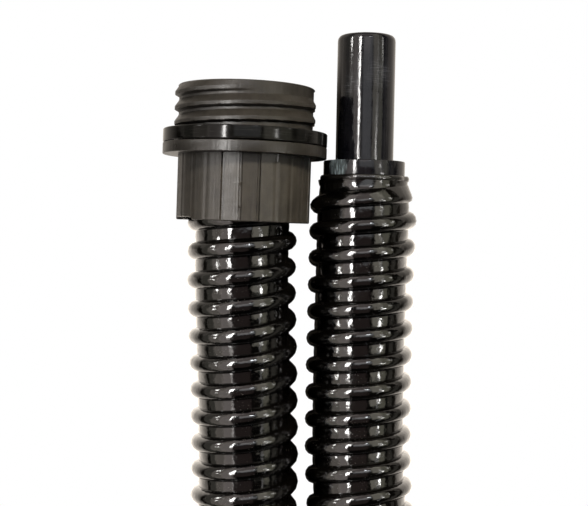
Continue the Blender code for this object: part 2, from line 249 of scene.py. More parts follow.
def smooth_curve(points, spacing):
    """A natural cubic spline through the points, read at even steps of about this spacing."""
    points = np.array(points)
    gaps = np.linalg.norm(np.diff(points, axis=0), axis=1)
    knots = np.concatenate(([0.0], np.cumsum(gaps)))
    count = len(points)
    system = np.eye(count)
    wanted = np.zeros_like(points)
    for i in range(1, count - 1):
        system[i, i - 1 : i + 2] = gaps[i - 1], 2 * (gaps[i - 1] + gaps[i]), gaps[i]
        slope_in = (points[i] - points[i - 1]) / gaps[i - 1]
        slope_out = (points[i + 1] - points[i]) / gaps[i]
        wanted[i] = 6 * (slope_out - slope_in)
    bends = np.linalg.solve(system, wanted)
    at = np.linspace(0.0, knots[-1], int(knots[-1] / spacing) + 1)
    span = np.clip(np.searchsorted(knots, at, side="right") - 1, 0, count - 2)
    width = gaps[span][:, None]
    back = (at - knots[span])[:, None]
    ahead = width - back
    curved = (bends[span] * ahead**3 + bends[span + 1] * back**3) / (6 * width)
    start = (points[span] / width - bends[span] * width / 6) * ahead
    end = (points[span + 1] / width - bends[span + 1] * width / 6) * back
    return curved + start + end


class Route:
    """The hose's centre line, read at any distance along it."""

    def __init__(self):
        self.points = smooth_curve([*LEG_FROM_COUPLING, *coil_points(), *LEG_TO_TUBE], ROUTE_STEP)
        steps = np.linalg.norm(np.diff(self.points, axis=0), axis=1)
        self.along = np.concatenate(([0.0], np.cumsum(steps)))
        self.length = float(self.along[-1])
        self.ahead = np.gradient(self.points, self.along, axis=0)

    def read(self, at, values):
        return np.stack([np.interp(at, self.along, values[:, axis]) for axis in range(3)], axis=-1)

    def across(self, at, around):
        """Points on the line, and unit vectors out of them at these angles, counted from the upper side.
        That side leans as little as it can from the vertical."""
        ahead = self.read(at, self.ahead)
        ahead /= np.linalg.norm(ahead, axis=-1, keepdims=True)
        side = np.cross(ahead, (0.0, 0.0, 1.0))
        side /= np.linalg.norm(side, axis=-1, keepdims=True)
        up = np.cross(side, ahead)
        outward = up * np.cos(around)[:, None] + side * np.sin(around)[:, None]
        return self.read(at, self.points), outward


def rib_rows():
    """Places of the mesh rows over one pitch: the valley's middle, a foot, over the rib, a foot."""
    over = [0.5 + RIB_HALF * math.cos(math.radians(deg)) for deg in RIB_ARC_DEG]
    reach = RIB_HALF + RIB_FOOT
    return np.array([0.0, 0.5 - reach, *over, 0.5 + reach])


def rib_radius(share, from_tube_end):
    """Outer radius of the hose, where share runs from 0 to 1 over one pitch, with the rib's crest at 0.5.
    A rib is a half-round ridge and the valley is nearly flat. At the tube the hose is slimmer."""
    off = np.abs((share % 1.0) - 0.5)
    height = np.sqrt(np.clip(1.0 - (off / RIB_HALF) ** 2, 0.0, None))
    whole = smooth_step((from_tube_end - END_TAPER[0]) / (END_TAPER[1] - END_TAPER[0]))
    in_valley = np.clip((off - RIB_HALF) / (0.5 - RIB_HALF), 0.0, 1.0)
    root = HOSE_ROOT_R + VALLEY_CROWN * in_valley - END_PINCH * (1.0 - whole)
    rise = END_RIB_SHARE + (1.0 - END_RIB_SHARE) * whole
    return root + (HOSE_CREST_R - HOSE_ROOT_R) * height * rise


def outer_radius(along, pitch, length):
    """Outer radius at these distances along the hose, for every column of the mesh."""
    share = (along - RIB_CREST_FROM_CUFF) / pitch - np.arange(RIB_COLUMNS) / RIB_COLUMNS + 0.5
    return rib_radius(share, length - along)


def ribbed_surface(route, around, ribs, pitch):
    """The hose's outside. Each row of the mesh follows the helix, so a rib's crest is one clean line."""
    columns = np.arange(RIB_COLUMNS)
    before = math.ceil(RIB_CREST_FROM_CUFF / pitch) + 1
    turns = np.arange(-before, ribs + 3)
    phase = (turns[:, None] + rib_rows()[None, :] - 0.5).reshape(-1)
    along = RIB_CREST_FROM_CUFF + pitch * (phase[:, None] + columns[None, :] / RIB_COLUMNS)
    along = np.clip(along, 0.0, route.length)
    centre, outward = route.across(along, around)
    points = (centre + outward * outer_radius(along, pitch, route.length)[..., None]).reshape(-1, 3)
    rows, per_turn = len(phase), len(rib_rows())
    faces = []
    for row in range(rows - 1):
        for i in range(RIB_COLUMNS - 1):
            a = row * RIB_COLUMNS + i
            faces.append((a, a + 1, a + 1 + RIB_COLUMNS, a + RIB_COLUMNS))
        if row + per_turn + 1 < rows:
            a = row * RIB_COLUMNS + RIB_COLUMNS - 1
            b = (row + per_turn) * RIB_COLUMNS
            faces.append((a, b, b + RIB_COLUMNS, a + RIB_COLUMNS))
    return points, keep_whole_faces(points, faces)


def keep_whole_faces(points, faces):
    """The faces that have an area, as rows cut off at an end of the hose collapse onto each other."""
    corners = points[np.array(faces)]
    area = np.linalg.norm(np.cross(corners[:, 2] - corners[:, 0], corners[:, 3] - corners[:, 1]), axis=1)
    return [face for face, size in zip(faces, area, strict=True) if size > NO_AREA]


def bore_rows(route, around):
    """Points of the smooth bore, row by row from the coupling's end to the tube's."""
    at = np.linspace(0.0, route.length, round(route.length / BORE_STEP) + 1)
    centre, outward = route.across(at[:, None], around)
    return centre + outward * HOSE_BORE_R


def make_hose(finish):
    """The whole hose as one closed piece: ribbed outside, smooth bore, and a flat rim at each end."""
    route = Route()
    span = route.length - RIB_CREST_FROM_CUFF - RIB_CREST_FROM_TUBE
    ribs = round(span / RIB_PITCH)
    pitch = span / ribs
    around = even_angles(RIB_COLUMNS)
    points, faces = ribbed_surface(route, around, ribs, pitch)
    bore = bore_rows(route, around)
    first_ring = len(points)
    last_ring = first_ring + (len(bore) - 1) * RIB_COLUMNS
    for ring in range(first_ring, last_ring, RIB_COLUMNS):
        faces += ring_faces(ring, ring + RIB_COLUMNS, RIB_COLUMNS)
    rims = []
    for at, bore_ring in ((0.0, first_ring), (route.length, last_ring)):
        centre, outward = route.across(np.array([at]), around)
        rims.append(centre + outward * outer_radius(at, pitch, route.length)[:, None])
        faces += ring_faces(last_ring + len(rims) * RIB_COLUMNS, bore_ring, RIB_COLUMNS)
    everything = np.concatenate((points, bore.reshape(-1, 3), *rims))
    mesh = mesh_from("hose_ribbed", everything, faces, HOSE_SHARP_DEG)
    hose = add_piece("hose_ribbed", mesh, "hose", finish, HOSE_NODES)
    at = np.linspace(0.0, route.length, CENTRE_LINE_POINTS)
    return hose, route.length, route.read(at, route.points)


# ---- coupling ----

# Heights are along the coupling's axis, from the lower edge of its skirt. The thread is a ridge with a
# short flank below its crest and a long one above. Its run-out at each end is a share of a turn.
COUPLING_EDGE = 0.35 * MM
COUPLING_SHARP_DEG = 32.0
SKIRT_FACETS = 24
FACET_DEG = 360.0 / SKIRT_FACETS
SKIRT_R = 30.4 * MM
SKIRT_BORE_R = 27.4 * MM
FLANGE_BASE = 29.4 * MM
FLANGE_TOP = 34.4 * MM
FLANGE_FOOT = 0.7 * MM
THREAD_ROOT_R = 31.0 * MM
THREAD_CREST_R = 33.2 * MM
THREAD_PITCH = 6.6 * MM
THREAD_TURNS = 2.78
THREAD_START = 39.15 * MM
THREAD_HALF_CREST = 0.75 * MM
THREAD_FLANK_BELOW = 0.85 * MM
THREAD_FLANK_ABOVE = 3.20 * MM
THREAD_RUN_OUT = 0.16
THREAD_ROW = 0.28 * MM
MOUTH_BORE_R = 26.0 * MM
LIP_BORE_R = 22.5 * MM
LIP_BASE = 29.8 * MM
LIP_TOP = 34.2 * MM

# Angles round the coupling are from its upper side, positive towards +X.
PARTING_FLAT_DEG = 90.0
PARTING_HALF_DEG = (12.0, 18.0)
PARTING_DROP = 0.5 * MM
# Depths of the deeper corner grooves, by angle. A groove is at full depth up to the first of its side's
# two angles from the corner, and ends at the second.
DEEP_GROOVES = {
    0.0: 0.6 * MM,
    15.0: 0.9 * MM,
    75.0: 0.5 * MM,
    105.0: 0.5 * MM,
    165.0: 0.9 * MM,
    180.0: 0.6 * MM,
    -165.0: 0.9 * MM,
    -105.0: 0.5 * MM,
    -75.0: 0.5 * MM,
    -15.0: 0.9 * MM,
}
FAINT_GROOVE = 0.20 * MM
GROOVE_SIDE_DEG = (0.798, 1.498)
TOP_NOTCH_DEG = 30.0
TOP_NOTCH_DEPTH = 0.5 * MM
TOP_NOTCH_LENGTH = 3.2 * MM
SHORT_PANEL_DEG = (-75.0, -45.0)
SHORT_PANEL_RISE = 1.1 * MM
GATE_MARKS = (6.6 * MM, 16.6 * MM)
GATE_MARK_DEG = -0.4
GATE_MARK_RISE = 0.42 * MM
GATE_MARK_SPREAD = 0.7 * MM
GATE_MARK_SPREAD_DEG = 1.2

# Places of the mesh columns over one facet, and of the rows up the skirt.
FACET_COLUMNS_DEG = (0.0, 0.8, 1.5, 4.3, 7.5, 10.7, 13.5, 14.2)
PLAIN_ROWS = np.linspace(0.4 * MM, FLANGE_BASE - 3.4 * MM, 9)
TOP_ROWS = (FLANGE_BASE - 3.0 * MM, FLANGE_BASE - 1.5 * MM, FLANGE_BASE)
GATE_MARK_ROW = GATE_MARK_SPREAD / 2


def seen_deg(angles):
    """Angle from the coupling's upper side, from -180 to 180."""
    return (np.degrees(angles) + 90.0 + 180.0) % 360.0 - 180.0


def away(degrees, other):
    """How far apart two directions are."""
    return np.abs((degrees - other + 180.0) % 360.0 - 180.0)


def skirt_radius(angles, height, reach):
    """Radius of the skirt: flat facets with a fine groove at each corner, and raised gate marks."""
    seen = seen_deg(angles)
    off_centre = np.radians((seen % FACET_DEG) - FACET_DEG / 2)
    radius = reach * math.cos(math.pi / SKIRT_FACETS) / np.cos(off_centre)
    corner = np.round(seen / FACET_DEG) * FACET_DEG
    depth = np.full(len(angles), FAINT_GROOVE)
    for at, groove in DEEP_GROOVES.items():
        depth = np.where(away(corner, at) < 1.0, groove, depth)
    if height > FLANGE_BASE - TOP_NOTCH_LENGTH:
        depth = np.where(away(corner, TOP_NOTCH_DEG) < 1.0, TOP_NOTCH_DEPTH, depth)
    floor, mouth = GROOVE_SIDE_DEG
    radius = radius - depth * np.clip((mouth - away(seen, corner)) / (mouth - floor), 0.0, 1.0)
    for mark in GATE_MARKS:
        near = math.exp(-(((height - mark) / GATE_MARK_SPREAD) ** 2))
        near = near * np.exp(-((away(seen, GATE_MARK_DEG) / GATE_MARK_SPREAD_DEG) ** 2))
        radius = radius + GATE_MARK_RISE * near
    return radius


def thread_radius(angles, height):
    """Radius of the threaded barrel at this height, with the thread relieved where the mould parted."""
    share = np.asarray(angles) / (2 * math.pi)
    ridge = np.zeros(len(share))
    for turn in range(int(THREAD_TURNS) + 1):
        travelled = share + turn
        off = height - THREAD_START - THREAD_PITCH * travelled
        flank = np.where(off < 0.0, THREAD_FLANK_BELOW, THREAD_FLANK_ABOVE)
        shape = np.clip(1.0 - (np.abs(off) - THREAD_HALF_CREST) / flank, 0.0, 1.0)
        fade = np.minimum(travelled, THREAD_TURNS - travelled) / THREAD_RUN_OUT
        ridge = np.maximum(ridge, shape * np.clip(fade, 0.0, 1.0))
    seen = seen_deg(angles)
    near = np.minimum(away(seen, PARTING_FLAT_DEG), away(seen, PARTING_FLAT_DEG - 180.0))
    low, high = PARTING_HALF_DEG
    kept = smooth_step((near - low) / (high - low))
    return THREAD_ROOT_R - PARTING_DROP * (1.0 - kept) + (THREAD_CREST_R - THREAD_ROOT_R) * ridge * kept


def skirt_heights():
    heights = [*PLAIN_ROWS, *TOP_ROWS]
    for mark in GATE_MARKS:
        heights += [mark + step * GATE_MARK_ROW for step in range(-4, 5)]
    return sorted(heights)


def make_coupling(finish):
    """The coupling's one moulding: skirt, lower flange, threaded barrel, mouth, and the lip inside."""
    angles = np.radians([FACET_DEG * n + off for n in range(SKIRT_FACETS) for off in FACET_COLUMNS_DEG])
    seen = seen_deg(angles)
    short = (seen > SHORT_PANEL_DEG[0]) & (seen < SHORT_PANEL_DEG[1])
    rise = np.where(short, SHORT_PANEL_RISE, 0.0)
    edge = COUPLING_EDGE
    rows = [(rise, SKIRT_BORE_R + edge), (rise, skirt_radius(angles, 0.0, SKIRT_R - edge))]
    for height in skirt_heights():
        lift = np.where(height < SHORT_PANEL_RISE, rise, 0.0)
        rows.append((height + lift, skirt_radius(angles, height, SKIRT_R)))
    rows += [(FLANGE_BASE, SKIRT_R + FLANGE_FOOT), (FLANGE_BASE, FLANGE_R - edge)]
    rows += rounded(FLANGE_BASE + edge, FLANGE_R - edge, edge, -90.0, 0.0, 3)
    rows += rounded(FLANGE_TOP - edge, FLANGE_R - edge, edge, 0.0, 90.0, 3)
    rows += [(FLANGE_TOP, THREAD_CREST_R + 0.2 * MM)]
    for height in np.arange(FLANGE_TOP, THREAD_TOP - edge, THREAD_ROW):
        rows.append((height, thread_radius(angles, height)))
    rows += [(THREAD_TOP - edge, THREAD_ROOT_R), (THREAD_TOP, THREAD_ROOT_R - edge)]
    rows += [(THREAD_TOP, MOUTH_BORE_R + edge), (THREAD_TOP - edge, MOUTH_BORE_R)]
    rows += [(LIP_TOP + edge, MOUTH_BORE_R), (LIP_TOP, MOUTH_BORE_R - edge)]
    rows += [(LIP_TOP, LIP_BORE_R), (LIP_BASE, LIP_BORE_R), (LIP_BASE, SKIRT_BORE_R)]
    rows += [(SHORT_PANEL_RISE + 1.0 * MM, SKIRT_BORE_R), (rise + edge, SKIRT_BORE_R)]
    mesh = turned("coupling_shell", rows, angles, COUPLING, COUPLING_SHARP_DEG)
    add_piece("coupling_shell", mesh, "coupling", finish, ["cuff_body"])


# ---- washer ----

WASHER_BORE_R = 33.6 * MM
WASHER_BASE = FLANGE_TOP + 0.3 * MM
WASHER_TOP = 40.7 * MM
WASHER_EDGE = 0.55 * MM
WASHER_INSET = 0.04 * MM
WASHER_BULGE = 0.05 * MM
WASHER_SIDES = 160
WASHER_SHARP_DEG = 50.0


def make_washer(finish):
    """A thick rubber washer on the flange, with round edges and a slightly bulging side."""
    edge = WASHER_EDGE
    rows = [(WASHER_BASE, WASHER_BORE_R + edge)]
    rows += rounded(WASHER_BASE + edge, FLANGE_R - edge, edge, -90.0, 0.0, 5)
    for step in range(1, 6):
        share = step / 6
        height = WASHER_BASE + edge + (WASHER_TOP - WASHER_BASE - 2 * edge) * share
        rows.append((height, FLANGE_R - WASHER_INSET + WASHER_BULGE * math.sin(math.pi * share)))
    rows += rounded(WASHER_TOP - edge, FLANGE_R - edge, edge, 0.0, 90.0, 5)
    rows += rounded(WASHER_TOP - edge, WASHER_BORE_R + edge, edge, 90.0, 180.0, 3)
    rows += [(WASHER_BASE + edge, WASHER_BORE_R)]
    mesh = turned("washer_disc", rows, even_angles(WASHER_SIDES), COUPLING, WASHER_SHARP_DEG)
    add_piece("washer_disc", mesh, "coupling", finish, ["sealing_washer"])


# ---- tube end ----

TUBE_R = 13.45 * MM
TUBE_BORE_R = 11.2 * MM
TUBE_TOP = 65.2 * MM
TUBE_END = -36.0 * MM
TUBE_LIP_OUT = 1.85 * MM
TUBE_LIP_ALONG = 2.7 * MM
TUBE_LIP_IN = 0.4 * MM
TUBE_SIDES = 96
TUBE_SHARP_DEG = 40.0

COLLAR_R = 18.95 * MM
COLLAR_TOP = 7.1 * MM
COLLAR_EDGE = 0.45 * MM
COLLAR_GAP = 0.25 * MM
BUSH_END = -38.0 * MM
BUSH_SPIGOT_R = 18.7 * MM
BUSH_STOP = TUBE_END - 0.3 * MM

BEAD_MIDDLE = -1.0 * MM
BEAD_R = 20.0 * MM
BEAD_HALF_HEIGHT = 1.35 * MM
BEAD_HALF_WIDTH = 0.75 * MM
BEAD_ROWS = 14
BEAD_SIDES = 120
BEAD_SHARP_DEG = 80.0
# Waves round the bead: how many, their size, and their turn in radians.
BEAD_WAVES = (
    (3, 0.16 * MM, 0.4),
    (7, 0.13 * MM, 1.9),
    (11, 0.10 * MM, 3.1),
    (17, 0.07 * MM, 0.2),
)


def make_tube(finish):
    """The smooth tube, with its mouth rounded on the outside and a little on the inside."""
    rows = [(TUBE_END, TUBE_BORE_R), (TUBE_END, TUBE_R)]
    for height in np.linspace(-20.0 * MM, TUBE_TOP - TUBE_LIP_ALONG, 12):
        rows.append((height, TUBE_R))
    for angle in np.radians(np.arange(1, 9) * 90.0 / 8):
        height = TUBE_TOP - TUBE_LIP_ALONG * (1 - math.sin(angle))
        rows.append((height, TUBE_R - TUBE_LIP_OUT * (1 - math.cos(angle))))
    for angle in np.radians(np.arange(1, 5) * 90.0 / 4):
        height = TUBE_TOP - TUBE_LIP_IN * (1 - math.cos(angle))
        rows.append((height, TUBE_BORE_R + TUBE_LIP_IN * (1 - math.sin(angle))))
    rows += [(TUBE_TOP - 6.0 * MM, TUBE_BORE_R)]
    mesh = turned("tube_smooth", rows, even_angles(TUBE_SIDES), TUBE_AXIS, TUBE_SHARP_DEG)
    add_piece("tube_smooth", mesh, "hose", finish, ["tube_stub"])


def make_collar(finish):
    """The low collar, not quite round, with the bush that it continues as inside the hose."""
    edge = COLLAR_EDGE
    bore = TUBE_R + COLLAR_GAP
    angles = even_angles(TUBE_SIDES)
    uneven = 0.05 * MM * np.sin(2 * angles + 0.6) + 0.03 * MM * np.sin(5 * angles)
    rows = [(BUSH_END, BUSH_SPIGOT_R), (0.0, BUSH_SPIGOT_R), (0.0, COLLAR_R - edge)]
    side = rounded(edge, COLLAR_R - edge, edge, -90.0, 0.0, 3)
    side += rounded(COLLAR_TOP - edge, COLLAR_R - edge, edge, 0.0, 90.0, 4)
    rows += [(height, radius + uneven) for height, radius in side]
    rows += [(COLLAR_TOP, bore + edge), (COLLAR_TOP - edge, bore), (BUSH_STOP, bore)]
    rows += [(BUSH_STOP, TUBE_BORE_R), (BUSH_END, TUBE_BORE_R)]
    mesh = turned("collar_ring", rows, angles, TUBE_AXIS, TUBE_SHARP_DEG)
    add_piece("collar_ring", mesh, "hose", finish, ["end_collar"])


def make_bead(finish):
    """Bead of sealant, uneven as squeezed out between the hose and the collar."""
    angles = even_angles(BEAD_SIDES)
    swell = sum(size * np.sin(waves * angles + turn) for waves, size, turn in BEAD_WAVES)
    rows = []
    for angle in even_angles(BEAD_ROWS):
        grow = 1.0 + 0.5 * math.cos(angle)
        height = BEAD_MIDDLE + BEAD_HALF_HEIGHT * math.sin(angle) + 0.3 * swell
        rows.append((height, BEAD_R + BEAD_HALF_WIDTH * math.cos(angle) + swell * grow))
    mesh = turned("bead_ring", rows, angles, TUBE_AXIS, BEAD_SHARP_DEG)
    add_piece("bead_ring", mesh, "hose", finish, ["sealant_bead"])


# ---- coil ties ----

TIE_WIDTH = 25.0 * MM
TIE_THICK = 1.5 * MM
TIE_GAP = 0.35 * MM
TIE_ARC_STEPS = 14
TIE_SHARP_DEG = 50.0
# The strap's section: places across it as shares of its width, and rises as shares of its thickness.
TIE_SECTION = (
    (-0.50, 0.35),
    (-0.46, 0.90),
    (-0.20, 1.00),
    (0.20, 1.00),
    (0.46, 0.90),
    (0.50, 0.35),
    (0.46, 0.0),
    (-0.46, 0.0),
)

# The flap's tip is a share of its length. The tip's least width is a share of the strap's, and the width
# of the flap's outer face is a share of its inner face's.
FLAP_LOW = COIL_LOW_Z + 2.0 * MM
FLAP_HIGH = COIL_HIGH_Z - 4.0 * MM
FLAP_THICK = 1.1 * MM
FLAP_SUNK = 0.05 * MM
FLAP_TOP_WIDTH = 0.94
FLAP_ROWS = 13
FLAP_TIP = 0.18
FLAP_TIP_WIDTH = 0.12


def tie_outline(offset):
    """A long loop round both turns, as (outward, up) points from the ground under the coil's line."""
    reach = HOSE_CREST_R + offset
    points = []
    for centre, start in ((COIL_HIGH_Z, 0.0), (COIL_LOW_Z, 180.0)):
        for i in range(TIE_ARC_STEPS + 1):
            angle = math.radians(start + 180.0 * i / TIE_ARC_STEPS)
            points.append((reach * math.cos(angle), centre + reach * math.sin(angle)))
    return points


def make_tie(number, at_deg, finish):
    """A woven strap, slightly thinner at its edges, with a doubled closing flap on its outer side."""
    angle = math.radians(at_deg)
    x = COIL_CENTRE[0] + COIL_R * math.cos(angle)
    y = COIL_CENTRE[1] + COIL_R * math.sin(angle)
    place = Matrix.Translation((x, y, 0.0)) @ Matrix.Rotation(angle, 4, "Z")
    points = []
    for across, rise in TIE_SECTION:
        for out, up in tie_outline(TIE_GAP + TIE_THICK * rise):
            points.append(place @ Vector((out, across * TIE_WIDTH, up)))
    count = len(points) // len(TIE_SECTION)
    faces = []
    for side in range(len(TIE_SECTION)):
        faces += ring_faces(side * count, (side + 1) % len(TIE_SECTION) * count, count)
    mesh = mesh_from(f"tie_strap_{number}", points, faces, TIE_SHARP_DEG)
    strap = add_piece(f"tie_strap_{number}", mesh, "hose", finish, [f"coil_tie_{number}"])
    return strap, make_flap(number, place, finish)


def make_flap(number, place, finish):
    """The strap's overlapping end, laid over the loop's outer side with a rounded tip."""
    base = HOSE_CREST_R + TIE_GAP + TIE_THICK - FLAP_SUNK
    points, faces = [], []
    for share in np.linspace(0.0, 1.0, FLAP_ROWS):
        into_tip = max(0.0, (share - 1.0 + FLAP_TIP) / FLAP_TIP)
        half = TIE_WIDTH / 2 * max(FLAP_TIP_WIDTH, math.sqrt(max(0.0, 1.0 - into_tip**2)))
        up = FLAP_LOW + (FLAP_HIGH - FLAP_LOW) * share
        inner = half * FLAP_TOP_WIDTH
        for rise, across in ((0.0, -half), (FLAP_THICK, -inner), (FLAP_THICK, inner), (0.0, half)):
            points.append(place @ Vector((base + rise, across, up)))
    last = len(points) - 4
    for row in range(0, last, 4):
        faces += ring_faces(row, row + 4, 4)
    faces += [(3, 2, 1, 0), (last, last + 1, last + 2, last + 3)]
    mesh = mesh_from(f"tie_flap_{number}", points, faces, TIE_SHARP_DEG)
    return add_piece(f"tie_flap_{number}", mesh, "hose", finish)


# ---- materials ----

# The coupling is darker on the lower flange, which lies between these two places along Y, and has painted
# shade on the thread above it.
FLANGE_Y = (SWIVEL[1] + FLANGE_BASE, SWIVEL[1] + FLANGE_TOP)
FLANGE_BLEND = 0.8 * MM

# Pale blue patches on the collar and on the tube: a point, from the hose's cut end, and how far each
# reaches.
PALE_PATCHES = (
    ((-13.2 * MM, 3.8 * MM, 13.6 * MM), 6.2 * MM),
    ((5.0 * MM, 47.0 * MM, TUBE_R - 1.5 * MM), 8.5 * MM),
    ((-7.5 * MM, 41.0 * MM, TUBE_R - 3.0 * MM), 6.5 * MM),
)


class Nodes:
    """A material's node tree, with short calls for the nodes used here."""

    def __init__(self, name):
        self.material = bpy.data.materials.new(name)
        self.material.use_nodes = True
        self.tree = self.material.node_tree
        self.shader = self.tree.nodes["Principled BSDF"]
        self.place = self.add("ShaderNodeTexCoord").outputs["Object"]

    def add(self, kind, **settings):
        node = self.tree.nodes.new(kind)
        for key, value in settings.items():
            setattr(node, key, value)
        return node

    def link(self, source, target):
        self.tree.links.new(source, target)

    def stretched(self, scale, turn=(0.0, 0.0, 0.0)):
        """Places on the object, scaled along each axis, so that a noise read there is drawn out."""
        node = self.add("ShaderNodeMapping")
        node.inputs["Scale"].default_value = scale
        node.inputs["Rotation"].default_value = turn
        self.link(self.place, node.inputs["Vector"])
        return node.outputs["Vector"]

    def noise(self, scale, detail=4.0, rough=0.55, vector=None):
        node = self.add("ShaderNodeTexNoise")
        node.inputs["Scale"].default_value = scale
        node.inputs["Detail"].default_value = detail
        node.inputs["Roughness"].default_value = rough
        self.link(vector or self.place, node.inputs["Vector"])
        return node.outputs["Fac"]

    def ramp(self, value, low, high, to_low=0.0, to_high=1.0):
        """The value's range from low to high, mapped onto another range and held at its ends."""
        node = self.add("ShaderNodeMapRange")
        node.inputs["From Min"].default_value = low
        node.inputs["From Max"].default_value = high
        node.inputs["To Min"].default_value = to_low
        node.inputs["To Max"].default_value = to_high
        self.link(value, node.inputs["Value"])
        return node.outputs["Result"]

    def maths(self, operation, one, other):
        node = self.add("ShaderNodeMath", operation=operation)
        for socket, value in zip(node.inputs, (one, other), strict=False):
            if isinstance(value, (int, float)):
                socket.default_value = value
            else:
                self.link(value, socket)
        return node.outputs["Value"]

    def times(self, one, other):
        return self.maths("MULTIPLY", one, other)

    def plus(self, one, other):
        return self.maths("ADD", one, other)

    def mix(self, share, low, high):
        """A colour from low, where the share is 0, to high, where it is 1."""
        node = self.add("ShaderNodeMix", data_type="RGBA")
        self.link(share, node.inputs["Factor"])
        for socket, value in ((node.inputs[6], low), (node.inputs[7], high)):
            if isinstance(value, tuple):
                socket.default_value = (*value, 1.0)
            else:
                self.link(value, socket)
        return node.outputs[2]

    def near(self, point, radius):
        """1 at a point on the object, falling to 0 at this distance."""
        node = self.add("ShaderNodeVectorMath", operation="DISTANCE")
        self.link(self.place, node.inputs[0])
        node.inputs[1].default_value = point
        return self.ramp(node.outputs["Value"], 0.0, radius, 1.0, 0.0)

    def colour(self, value):
        self.link(value, self.shader.inputs["Base Color"])

    def roughness(self, value):
        self.link(value, self.shader.inputs["Roughness"])

    def bump(self, height, strength, distance):
        node = self.add("ShaderNodeBump")
        node.inputs["Strength"].default_value = strength
        node.inputs["Distance"].default_value = distance
        self.link(height, node.inputs["Height"])
        self.link(node.outputs["Normal"], self.shader.inputs["Normal"])


def hose_finish():
    """Glossy black plastic with a faint brown haze, fine dust in patches and shallow ripples."""
    nodes = Nodes("hose_gloss_black")
    haze = nodes.ramp(nodes.noise(38.0, 3.0), 0.40, 0.68)
    specks = nodes.ramp(nodes.noise(1500.0, 2.0, 0.6), 0.66, 0.74)
    dusty = nodes.times(specks, nodes.ramp(nodes.noise(55.0, 2.0), 0.48, 0.62))
    base = nodes.mix(haze, (0.0012, 0.0010, 0.0010), (0.0042, 0.0036, 0.0030))
    nodes.colour(nodes.mix(dusty, base, (0.12, 0.11, 0.10)))
    uneven = nodes.ramp(nodes.noise(120.0, 4.0), 0.35, 0.70, 0.045, 0.13)
    nodes.roughness(nodes.plus(uneven, nodes.times(dusty, 0.4)))
    nodes.shader.inputs["IOR"].default_value = 1.52
    ripple = nodes.plus(nodes.noise(150.0, 2.0), nodes.times(nodes.noise(700.0, 3.0), 0.25))
    nodes.bump(ripple, 0.24, 1.0 * MM)
    return nodes.material


def coupling_finish():
    """Matte warm dark grey moulded plastic: fine grain, flow marks down the skirt, pale scuffs on edges,
    darker on the flange, and painted shade in its hollows and on the thread."""
    nodes = Nodes("coupling_matte_grey")
    blotch = nodes.ramp(nodes.noise(85.0, 5.0, 0.62), 0.36, 0.66)
    streaks = nodes.noise(1.0, 4.0, 0.6, nodes.stretched((650.0, 26.0, 650.0)))
    streaks = nodes.ramp(streaks, 0.36, 0.66)
    grain = nodes.noise(2600.0, 3.0, 0.7)
    base = nodes.mix(blotch, (0.020, 0.017, 0.0125), (0.060, 0.052, 0.040))
    base = nodes.mix(nodes.times(streaks, 0.34), base, (0.085, 0.074, 0.060))
    base = nodes.mix(nodes.ramp(grain, 0.30, 0.72, 0.0, 0.30), base, (0.085, 0.079, 0.069))
    edge = nodes.add("ShaderNodeNewGeometry").outputs["Pointiness"]
    # Painted shade: darker in concave hollows, such as the grooves under the thread's ridges.
    base = nodes.mix(nodes.ramp(edge, 0.41, 0.492), (0.008, 0.007, 0.006), base)
    parts = nodes.add("ShaderNodeSeparateXYZ")
    nodes.link(nodes.place, parts.inputs["Vector"])
    low, high = FLANGE_Y
    above = nodes.ramp(parts.outputs["Y"], low - FLANGE_BLEND, low)
    below = nodes.ramp(parts.outputs["Y"], high, high + FLANGE_BLEND, 1.0, 0.0)
    on_flange = nodes.times(above, below)
    # Painted shade: the thread's barrel is darker from the flange's top upward. The flange is darker as
    # well.
    painted_thread_shade = nodes.ramp(parts.outputs["Y"], high, high + FLANGE_BLEND, 0.0, 0.50)
    thread_shade_and_darker_flange = nodes.maths("MAXIMUM", painted_thread_shade, nodes.times(on_flange, 0.62))
    base = nodes.mix(thread_shade_and_darker_flange, base, (0.010, 0.009, 0.008))
    worn = nodes.times(nodes.ramp(edge, 0.53, 0.62), nodes.ramp(nodes.noise(300.0, 3.0), 0.40, 0.62))
    nodes.colour(nodes.mix(worn, base, (0.13, 0.122, 0.108)))
    satin = nodes.ramp(nodes.noise(240.0, 3.0), 0.3, 0.7, 0.34, 0.46)
    nodes.roughness(nodes.maths("SUBTRACT", satin, nodes.times(on_flange, 0.07)))
    nodes.shader.inputs["Specular IOR Level"].default_value = 0.26
    nodes.bump(nodes.plus(nodes.times(grain, 0.6), streaks), 0.22, 0.2 * MM)
    return nodes.material


def washer_finish():
    """Smooth glossy black rubber with a soft mottling and a few fine rub marks."""
    nodes = Nodes("washer_gloss_black")
    mottle = nodes.ramp(nodes.noise(160.0, 4.0), 0.35, 0.68)
    rubs = nodes.noise(1.0, 3.0, 0.6, nodes.stretched((90.0, 2600.0, 90.0)))
    rubs = nodes.ramp(rubs, 0.58, 0.70)
    base = nodes.mix(mottle, (0.004, 0.004, 0.0038), (0.010, 0.0098, 0.009))
    nodes.colour(nodes.mix(nodes.times(rubs, 0.25), base, (0.10, 0.10, 0.095)))
    nodes.roughness(nodes.plus(nodes.ramp(mottle, 0.0, 1.0, 0.09, 0.13), nodes.times(rubs, 0.06)))
    nodes.shader.inputs["Specular IOR Level"].default_value = 0.12
    nodes.bump(nodes.noise(900.0, 3.0), 0.05, 0.1 * MM)
    return nodes.material


